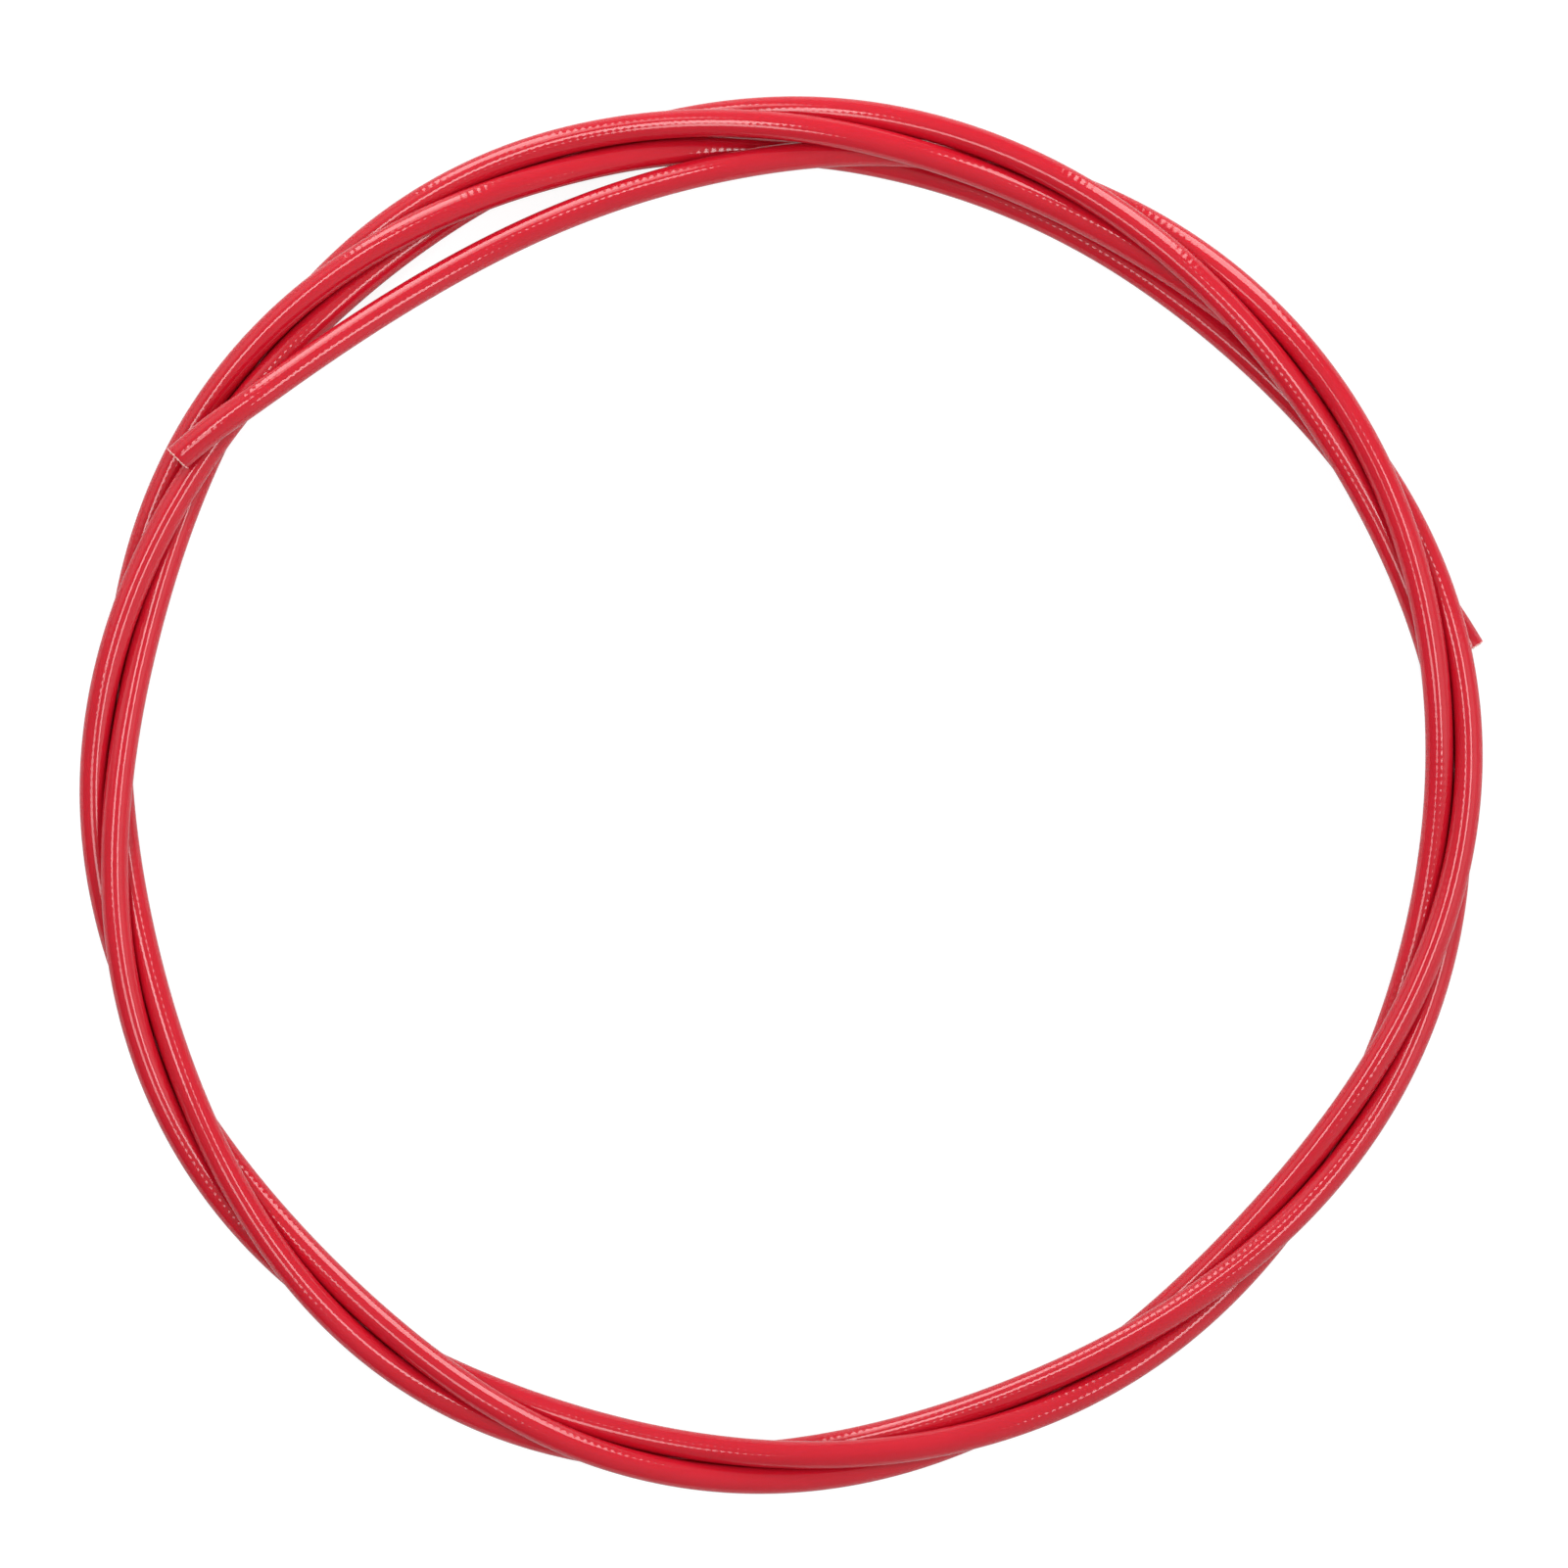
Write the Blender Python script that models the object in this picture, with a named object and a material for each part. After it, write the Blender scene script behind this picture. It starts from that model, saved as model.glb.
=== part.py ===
"""Coil of small-bore braided hose: three turns laid round each other like the strands of a rope.

The hose is three layers on one centreline: a smooth liner, a woven braid and a thin coloured
jacket. It lies flat in a ring. Each turn winds over the outside of the bundle, across its top and
back beneath it, so that the turns lock each other and the coil needs no tie. Both cut ends are
free: the first lies across the top of the bundle, the last comes out from beneath it.

Angles are in degrees, clockwise from +Y seen from above, and they count on from turn to turn.
"""

import math

import bmesh
import bpy
import numpy as np

# The hose, in metres. Its walls leave a bore of 2.1 mm.
HOSE_DIAMETER = 0.0050
JACKET_WALL = 0.0005
BRAID_WALL = 0.00035
LINER_WALL = 0.00045
LAYER_GAP = 0.000075

# The coil, in metres: the radius to the middle of its bundle, and the clearance between turns.
COIL_RADIUS = 0.1212
STRAND_GAP = 0.00033

# The bundle. At each of these angles one of its turns comes up at the outer side; the second
# number is how far the middle of the bundle stands outside COIL_RADIUS there, in strand pitches.
STRANDS = 3
EMERGENCES = (
    (25.9, -0.17),
    (60.3, 0.00),
    (95.6, -0.02),
    (130.6, -0.60),
    (162.9, -0.39),
    (196.2, 0.12),
    (224.8, 0.19),
    (255.1, 0.10),
    (285.8, 0.12),
    (317.0, 0.36),
    (349.6, 0.09),
)
EMERGING_PHASE = -58.0
TWIST_BEGINS = 380.0
TWIST_ENDS = 1426.0

# The turns in which the emergences are repeated. The hose itself comes up at the first
# emergence of its STARTING_TURN.
REPEATED_TURNS = range(-1, STRANDS + 3)
STARTING_TURN = 1

# The bundle rides over the last stretch of the hose, lifted by this many strand pitches: the
# lift grows between the first two of these angles and fades between the last two.
RIDING_LIFT = 0.92
RIDING_ANGLES = (340.0, 372.0, 430.0, 470.0)

# The two free stretches, chosen by hand: (angle, distance outside the middle of the bundle,
# height above a turn that lies on the ground), the last two in strand pitches.
LEADING_END = (
    (299.2, 0.42, 1.86),
    (303.0, -0.16, 2.12),
    (306.0, -0.62, 2.17),
    (310.0, -1.10, 2.01),
    (316.0, -1.60, 1.66),
    (323.0, -1.93, 1.30),
    (331.0, -2.04, 1.03),
    (340.0, -1.93, 0.98),
    (349.0, -1.65, 1.13),
    (356.0, -1.33, 1.28),
    (363.0, -0.91, 1.13),
    (370.0, -0.48, 0.92),
    (375.0, -0.20, 0.81),
)
TRAILING_END = (
    (1431.0, -0.66, 0.66),
    (1437.0, -0.79, 0.30),
    (1443.0, -0.82, 0.06),
    (1449.0, -0.88, 0.00),
    (1458.0, -0.96, 0.00),
    (1470.0, -1.02, 0.00),
    (1482.0, -0.98, 0.00),
    (1488.0, -0.86, 0.00),
    (1494.0, -0.67, 0.00),
    (1500.0, -0.43, 0.00),
    (1510.0, 0.15, 0.00),
    (1515.0, 0.76, 0.00),
    (1517.9, 1.16, 0.00),
)

# Facets: one ring every RING_STEP degrees, and none nearer to the last one than this share of it.
RING_STEP = 9.0
NEAREST_RING = 1 / 3
TWIST_STEP = 3.0
JACKET_SIDES = 12
LAYER_SIDES = 8
SHARP_ANGLE = 50.0

# Materials: name, linear colour and roughness.
JACKET_MATERIAL = ("red_polyurethane", (0.50, 0.012, 0.022), 0.18)
BRAID_MATERIAL = ("aramid_yarn", (0.78, 0.70, 0.48), 0.80)
LINER_MATERIAL = ("natural_nylon", (0.80, 0.79, 0.74), 0.35)


def spline_through(stations, values):
    """Return a function for the smooth curve through the values, straight at both ends."""
    stations = np.asarray(stations, float)
    values = np.asarray(values, float)
    count = len(stations)
    steps = np.diff(stations)
    rises = np.diff(values) / steps
    system = np.identity(count)
    bends = np.zeros(count)
    for i in range(1, count - 1):
        system[i, i - 1 : i + 2] = steps[i - 1], 2 * (steps[i - 1] + steps[i]), steps[i]
        bends[i] = 6 * (rises[i] - rises[i - 1])
    bends = np.linalg.solve(system, bends)

    def curve(at):
        i = np.clip(np.searchsorted(stations, at) - 1, 0, count - 2)
        along = at - stations[i]
        slope = rises[i] - steps[i] * (2 * bends[i] + bends[i + 1]) / 6
        turn = (bends[i + 1] - bends[i]) / (6 * steps[i])
        return values[i] + along * (slope + along * (bends[i] / 2 + along * turn))

    return curve


def strand_pitch():
    """Distance between the centres of two neighbouring turns in the bundle."""
    return HOSE_DIAMETER + STRAND_GAP


def lay_radius():
    """Radius of the circle on which the turns stand round the middle of the bundle."""
    return strand_pitch() / (2 * math.sin(math.pi / STRANDS))


def around_the_ring():
    """The emergences repeated over every turn of the hose: angles, offsets and their count."""
    angles = []
    offsets = []
    for turn in REPEATED_TURNS:
        angles.extend(angle + 360 * turn for angle, _ in EMERGENCES)
        offsets.extend(offset for _, offset in EMERGENCES)
    earlier = (STARTING_TURN - REPEATED_TURNS[0]) * len(EMERGENCES)
    return angles, offsets, np.arange(len(angles)) - earlier


def bundle_radius(angle):
    """Radius of the middle of the bundle at an angle."""
    angles, offsets, _ = around_the_ring()
    return COIL_RADIUS + strand_pitch() * spline_through(angles, offsets)(angle)


def eased(share):
    """Rise smoothly from 0 to 1 as share goes from 0 to 1."""
    share = np.clip(share, 0, 1)
    return share**3 * (10 - 15 * share + 6 * share**2)


def bundle_lift(angle):
    """How far the bundle is lifted off the ground at an angle, in metres."""
    begins, full, fades, ends = RIDING_ANGLES
    around = begins + (np.asarray(angle) - begins) % 360
    growing = eased((around - begins) / (full - begins))
    fading = eased((around - fades) / (ends - fades))
    return RIDING_LIFT * strand_pitch() * (growing - fading)


def twist_point(angle):
    """Radius and height of the hose where it is twisted into the bundle."""
    angles, _, passed = around_the_ring()
    passed = spline_through(angles, passed)(angle)
    phase = np.radians(EMERGING_PHASE + 360 / STRANDS * passed)
    radius = bundle_radius(angle) + lay_radius() * np.cos(phase)
    height = HOSE_DIAMETER / 2 + lay_radius() * (1 + np.sin(phase)) + bundle_lift(angle)
    return radius, height


def free_points(stretch):
    """Angles, radii and heights of the points of a free stretch."""
    angles, outside, above = np.array(stretch).T
    radii = bundle_radius(angles) + strand_pitch() * outside
    heights = HOSE_DIAMETER / 2 + strand_pitch() * above
    return angles, radii, heights


def hose_centreline(step):
    """Points along the whole hose, end to end, one every step degrees."""
    twist_angles = np.arange(TWIST_BEGINS, TWIST_ENDS, TWIST_STEP)
    twist = (twist_angles, *twist_point(twist_angles))
    stretches = (free_points(LEADING_END), twist, free_points(TRAILING_END))
    angles, radii, heights = (np.concatenate(part) for part in zip(*stretches))
    before_last = angles[-1] - NEAREST_RING * step
    at = np.append(np.arange(angles[0], before_last, step), angles[-1])
    radius = spline_through(angles, radii)(at)
    height = spline_through(angles, heights)(at)
    turned = np.radians(at)
    return np.column_stack((radius * np.sin(turned), radius * np.cos(turned), height))


def ring_axes(centres):
    """Sideways and upward unit vectors square to the centreline at each of its points."""
    along = np.gradient(centres, axis=0)
    along /= np.linalg.norm(along, axis=1, keepdims=True)
    sideways = np.cross(along, (0.0, 0.0, 1.0))
    sideways /= np.linalg.norm(sideways, axis=1, keepdims=True)
    return sideways, np.cross(sideways, along)


def wall_rings(centres, radius, sides):
    """Corner points of the rings of one wall, ring by ring."""
    sideways, upward = ring_axes(centres)
    corners = np.radians(np.arange(sides) * 360 / sides)
    across = np.cos(corners)[None, :, None] * sideways[:, None, :]
    up = np.sin(corners)[None, :, None] * upward[:, None, :]
    return centres[:, None, :] + radius * (across + up)


def add_wall(mesh, rings):
    """Add one wall to the mesh and return the edges of its first and last rings."""
    rows = [[mesh.verts.new(corner) for corner in ring] for ring in rings]
    for row, following in zip(rows, rows[1:]):
        for i in range(len(row)):
            mesh.faces.new((row[i - 1], row[i], following[i], following[i - 1]))
    ends = []
    for row in (rows[0], rows[-1]):
        ends.append([mesh.edges.get((row[i - 1], row[i])) for i in range(len(row))])
    return ends


def make_layer(name, centres, radii, sides, material):
    """Make one hollow layer of the hose, cut square and open at both ends."""
    mesh = bmesh.new()
    walls = [add_wall(mesh, wall_rings(centres, *wall)) for wall in zip(radii, sides)]
    for outer_end, inner_end in zip(*walls):
        bmesh.ops.triangle_fill(mesh, use_beauty=True, edges=outer_end + inner_end)
    bmesh.ops.recalc_face_normals(mesh, faces=mesh.faces)
    data = bpy.data.meshes.new(name)
    mesh.to_mesh(data)
    mesh.free()
    data.shade_smooth()
    data.set_sharp_from_angle(angle=math.radians(SHARP_ANGLE))
    data.materials.append(material)
    layer = bpy.data.objects.new(name, data)
    bpy.context.scene.collection.objects.link(layer)
    return layer


def make_material(name, colour, roughness):
    """Make a plain material from its linear colour."""
    material = bpy.data.materials.new(name)
    material.use_nodes = True
    shader = material.node_tree.nodes["Principled BSDF"]
    shader.inputs["Base Color"].default_value = (*colour, 1.0)
    shader.inputs["Roughness"].default_value = roughness
    shader.inputs["Metallic"].default_value = 0.0
    return material


def centred(centres):
    """Move the centreline so that the middle of the coil's outline is at the origin."""
    jacket = wall_rings(centres, HOSE_DIAMETER / 2, JACKET_SIDES).reshape(-1, 3)
    lowest = jacket.min(axis=0)
    middle = (lowest + jacket.max(axis=0)) / 2
    return centres - (middle[0], middle[1], lowest[2])


def layer_radii():
    """Outer and inner radius of the jacket, the braid and the liner, from the outside in."""
    radii = []
    outer = HOSE_DIAMETER / 2
    for wall in (JACKET_WALL, BRAID_WALL, LINER_WALL):
        radii.append((outer, outer - wall))
        outer -= wall + LAYER_GAP
    return radii


def make_hose():
    """Make the three layers of the hose, from the outside in."""
    centres = centred(hose_centreline(RING_STEP))
    jacket, braid, liner = layer_radii()
    jacket_sides = (JACKET_SIDES, LAYER_SIDES)
    inner_sides = (LAYER_SIDES, LAYER_SIDES)
    red = make_material(*JACKET_MATERIAL)
    cream = make_material(*BRAID_MATERIAL)
    milky = make_material(*LINER_MATERIAL)
    make_layer("outer_jacket", centres, jacket, jacket_sides, red)
    make_layer("reinforcement_braid", centres, braid, inner_sides, cream)
    make_layer("inner_liner", centres, liner, inner_sides, milky)


def clear_scene():
    """Remove every object that is in the scene."""
    for thing in list(bpy.data.objects):
        bpy.data.objects.remove(thing, do_unlink=True)


clear_scene()
make_hose()
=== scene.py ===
"""Coil of small-bore braided hose, dressed for the studio.

Three turns of red hose are laid round each other like the strands of a rope and rest in a flat
ring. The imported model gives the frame. Each layer of the hose is made again here along the same
route, finer and with its real surface: a glossy extruded jacket that shows the braid under it, the
woven yarn where the hose is cut, and the smooth liner with its bore.

Lengths are in metres unless a name says otherwise. Angles round the coil are in degrees,
clockwise from +Y seen from above, and they count on from turn to turn.
"""

import logging
import math
from collections.abc import Callable
from dataclasses import dataclass, field
from enum import Enum
from functools import cached_property

import bpy
import numpy as np
from bpy.types import Material, Node, NodeSocket, NodeTree, Object
from mathutils import Matrix, Vector


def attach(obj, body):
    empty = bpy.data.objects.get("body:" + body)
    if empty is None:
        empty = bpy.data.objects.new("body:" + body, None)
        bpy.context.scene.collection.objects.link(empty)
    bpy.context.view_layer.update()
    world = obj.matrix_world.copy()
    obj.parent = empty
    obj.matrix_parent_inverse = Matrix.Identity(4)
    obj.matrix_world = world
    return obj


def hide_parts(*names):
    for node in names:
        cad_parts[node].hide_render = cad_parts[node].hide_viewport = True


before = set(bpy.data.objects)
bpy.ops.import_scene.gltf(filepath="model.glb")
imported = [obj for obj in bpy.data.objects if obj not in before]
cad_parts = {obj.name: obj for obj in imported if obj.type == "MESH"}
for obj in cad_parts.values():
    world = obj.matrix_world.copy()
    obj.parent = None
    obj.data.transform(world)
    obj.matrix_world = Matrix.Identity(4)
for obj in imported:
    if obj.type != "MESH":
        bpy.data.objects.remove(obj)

Array = np.ndarray
LOG = logging.getLogger("coiled_hose")
MILLIMETRE = 0.001
BODY = "root"
HOSE_MAP = "around_and_along"
WHITE = (1.0, 1.0, 1.0, 1.0)
# How much finer patches add to a noise, and the numbers between which nearly all of it lies.
NOISE_ROUGHNESS = 0.6
NOISE_SPAN = (0.3, 0.7)


class Layer(Enum):
    """The layers of the hose, named after their CAD nodes."""

    JACKET = "outer_jacket"
    BRAID = "reinforcement_braid"
    LINER = "inner_liner"


class CutEnd(Enum):
    """The two cut ends of the hose; the value is the way out of the hose along the route."""

    LEADING = -1
    TRAILING = 1


class YarnLay(Enum):
    """The two ways in which the yarns of the braid wind round the hose."""

    LEFT_HAND = -1
    RIGHT_HAND = 1


# --- Shared tools ---


def spline_through(stations: Array, values: Array) -> Callable[[Array], Array]:
    """Make the smooth curve through values given at stations, straight at both ends.

    Each stretch between stations is a cubic. Its bends at the stations come from one set of
    linear equations, which keeps slope and bend the same on both sides of every station.

    Args:
        stations: Rising places of the values.
        values: The value at each station.

    Returns:
        A function that gives the curve's value at any places.
    """
    stations = np.asarray(stations, float)
    values = np.asarray(values, float)
    steps = np.diff(stations)
    rises = np.diff(values) / steps
    system = np.identity(len(stations))
    inner = np.arange(1, len(stations) - 1)
    system[inner, inner - 1] = steps[:-1]
    system[inner, inner] = 2 * (steps[:-1] + steps[1:])
    system[inner, inner + 1] = steps[1:]
    wanted = np.zeros(len(stations))
    wanted[1:-1] = 6 * np.diff(rises)
    bends = np.linalg.solve(system, wanted)

    def curve(at: Array) -> Array:
        """Give the curve's value at any places.

        Args:
            at: The places.

        Returns:
            The value at each place.
        """
        i = np.clip(np.searchsorted(stations, at) - 1, 0, len(stations) - 2)
        along = at - stations[i]
        slope = rises[i] - steps[i] * (2 * bends[i] + bends[i + 1]) / 6
        turn = (bends[i + 1] - bends[i]) / (6 * steps[i])
        return values[i] + along * (slope + along * (bends[i] / 2 + along * turn))

    return curve


def eased(share: Array) -> Array:
    """Rise from 0 to 1 as share does, level at both ends: a fifth-degree polynomial."""
    share = np.clip(share, 0, 1)
    return share**3 * (10 - 15 * share + 6 * share**2)


def unit(vectors: Array) -> Array:
    """Scale every vector of the last axis to length 1."""
    return vectors / np.linalg.norm(vectors, axis=-1, keepdims=True)


def grid_faces(rows: int, columns: int, closed: bool) -> Array:
    """Number the corners of the four-sided faces of a grid of points whose rows are rings.

    Point (row, column) has number row times columns plus column. A face joins a point to its
    neighbours in the next column and the next row, and the last column is joined to the first.

    Args:
        rows: Rows of points.
        columns: Points in each row.
        closed: True where the last row is joined to the first too.

    Returns:
        One row of four point numbers for each face, in the order of the grid.
    """
    row = np.arange(rows if closed else rows - 1)[:, None]
    column = np.arange(columns)[None, :]
    after, beside = (row + 1) % rows * columns, (column + 1) % columns
    row = row * columns
    faces = np.stack((row + column, row + beside, after + beside, after + column), axis=-1)
    return faces.reshape(-1, 4)


def rod_faces(rods: int, rows: int, columns: int) -> Array:
    """Number the corners of the faces of many closed rods, each a grid of rings with flat ends.

    An end of an even number of points is a fan of four-sided faces from its first point.

    Args:
        rods: Number of rods, one after the other in the list of points.
        rows: Rings of each rod.
        columns: Points in each ring.

    Returns:
        One row of four point numbers for each face.
    """
    odd = np.arange(1, columns - 2, 2)
    last = np.stack((np.zeros_like(odd), odd, odd + 1, odd + 2), axis=-1)
    skin = grid_faces(rows, columns, closed=False)
    one = np.concatenate((skin, last[:, ::-1], last + (rows - 1) * columns))
    return (np.arange(rods)[:, None, None] * rows * columns + one).reshape(-1, 4)


def squared_off(wave: Array, power: float) -> Array:
    """Fatten a wave by a power of its size under 1, which turns a circle into a rounded square."""
    return np.sign(wave) * np.abs(wave) ** power


def make_piece(name: str, points: Array, faces: Array, uv: Array | None = None) -> Object:
    """Make a smooth-shaded object at the origin from arrays.

    Args:
        name: Name of the object and its mesh.
        points: One row of x, y, z for each point.
        faces: One row of four point numbers for each face.
        uv: Two numbers for each corner of each face, or None.

    Returns:
        The new object, linked to the scene.
    """
    data = bpy.data.meshes.new(name)
    data.vertices.add(len(points))
    data.vertices.foreach_set("co", np.ascontiguousarray(points, np.float32).ravel())
    data.loops.add(faces.size)
    data.loops.foreach_set("vertex_index", np.ascontiguousarray(faces, np.int32).ravel())
    data.polygons.add(len(faces))
    data.polygons.foreach_set("loop_start", np.arange(0, faces.size, faces.shape[1], dtype=np.int32))
    if uv is not None:
        layer = data.uv_layers.new(name=HOSE_MAP)
        layer.data.foreach_set("uv", np.ascontiguousarray(uv, np.float32).ravel())
    data.update(calc_edges=True)
    data.validate()
    data.shade_smooth()
    piece = bpy.data.objects.new(name, data)
    bpy.context.scene.collection.objects.link(piece)
    return piece


def linear(colour: str) -> tuple[float, float, float, float]:
    """Turn an sRGB colour written as six hex digits into the renderer's linear one.

    A share of up to 0.04045 is divided by 12.92. A larger one follows the standard's power of 2.4.

    Args:
        colour: The colour, such as "c8323e".

    Returns:
        Red, green, blue and an alpha of 1.
    """
    shares = [int(colour[i : i + 2], 16) / 255 for i in (0, 2, 4)]
    light = [s / 12.92 if s <= 0.04045 else ((s + 0.055) / 1.055) ** 2.4 for s in shares]
    return (*light, 1.0)


def add_node(tree: NodeTree, kind: str, inputs: dict | list | tuple = (), **settings: object) -> Node:
    """Add a node with its settings, and give its inputs their numbers, colours or links.

    Args:
        tree: The node tree that gets it.
        kind: The kind of node, by Blender's name less "ShaderNode".
        inputs: What goes into the inputs, for the first ones in order or for any by name or
            number: a value, a socket that feeds the input, or a node whose first output does.
        settings: Attributes of the node itself, such as operation.

    Returns:
        The new node.
    """
    node = tree.nodes.new("ShaderNode" + kind)
    for key, value in settings.items():
        setattr(node, key, value)
    for key, value in inputs.items() if isinstance(inputs, dict) else enumerate(inputs):
        if isinstance(value, Node):
            value = value.outputs[0]
        if isinstance(value, NodeSocket):
            tree.links.new(value, node.inputs[key])
        else:
            node.inputs[key].default_value = value
    return node


def new_material(name: str) -> tuple[Material, NodeTree]:
    """Make an empty node material.

    Args:
        name: Name of the material, after the real one.

    Returns:
        The material and its node tree.
    """
    material = bpy.data.materials.new(name)
    material.use_nodes = True
    material.node_tree.nodes.clear()
    return material, material.node_tree


def add_surface(
    tree: NodeTree, colours: tuple[str, str], share: Node, height: Node, depth: float, rest: dict
) -> None:
    """Add a material's shader, with a mix of two colours and with relief, and its output.

    Args:
        tree: The material's node tree.
        colours: The two colours, as hex digits.
        share: The node that gives how much of the second colour shows.
        height: The node that gives the height of the surface.
        depth: How far the surface rises where that height goes from 0 to 1.
        rest: The shader's other inputs.
    """
    mix = {0: share, 6: linear(colours[0]), 7: linear(colours[1])}
    shader = add_node(tree, "BsdfPrincipled", rest | {
        "Base Color": add_node(tree, "Mix", mix, data_type="RGBA").outputs[2],
        "Normal": add_node(tree, "Bump", {"Height": height, "Distance": depth}),
    })
    add_node(tree, "OutputMaterial", (shader,))


# --- Sizes that several pieces share ---


@dataclass(frozen=True)
class HoseSizes:
    """The hose across its wall, from the outside in."""

    diameter: float = 5.0 * MILLIMETRE
    jacket_wall: float = 0.5 * MILLIMETRE
    braid_wall: float = 0.35 * MILLIMETRE
    liner_wall: float = 0.45 * MILLIMETRE
    clearance: float = 0.075 * MILLIMETRE

    def radii(self, layer: Layer) -> tuple[float, float]:
        """Give the radius of a layer's outside and the radius of its inside.

        Args:
            layer: The layer.

        Returns:
            The two radii: what is left of the hose's after the walls and clearances outside.
        """
        outer = self.diameter / 2
        for each, wall in zip(Layer, (self.jacket_wall, self.braid_wall, self.liner_wall)):
            if each is layer:
                break
            outer -= wall + self.clearance
        return outer, outer - wall


@dataclass(frozen=True)
class BraidPattern:
    """The lattice of the braid: as many yarns wind one way as the other."""

    yarns_each_way: int = 8
    lattice_length: float = 1.36 * MILLIMETRE

    def twist(self) -> float:
        """Turn of a yarn round the hose in radians for each metre along it."""
        return math.tau / (self.yarns_each_way * self.lattice_length)

    def phases(self, tree: NodeTree) -> tuple[Node, list[Node]]:
        """Follow the lattice over a piece's own map, in radians.

        The map holds turns round the hose and millimetres along it. The phase along the hose
        grows by a full turn from row to row of crossings. The phase across the yarns of one way
        of winding is the turns times their number, more or less the phase along the hose.

        Args:
            tree: The material's node tree.

        Returns:
            The phase along the hose, and for each way of winding the phase across its yarns.
        """
        per_turn, per_row = math.tau * self.yarns_each_way, math.tau * MILLIMETRE / self.lattice_length
        place = add_node(tree, "UVMap", uv_map=HOSE_MAP)
        turns, millimetres, _ = add_node(tree, "SeparateXYZ", (place,)).outputs
        around = add_node(tree, "Math", (turns, per_turn), operation="MULTIPLY")
        along = add_node(tree, "Math", (millimetres, per_row), operation="MULTIPLY")
        return along, [
            add_node(tree, "Math", (along, float(lay.value), around), operation="MULTIPLY_ADD")
            for lay in YarnLay
        ]


# --- The route ---


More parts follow.
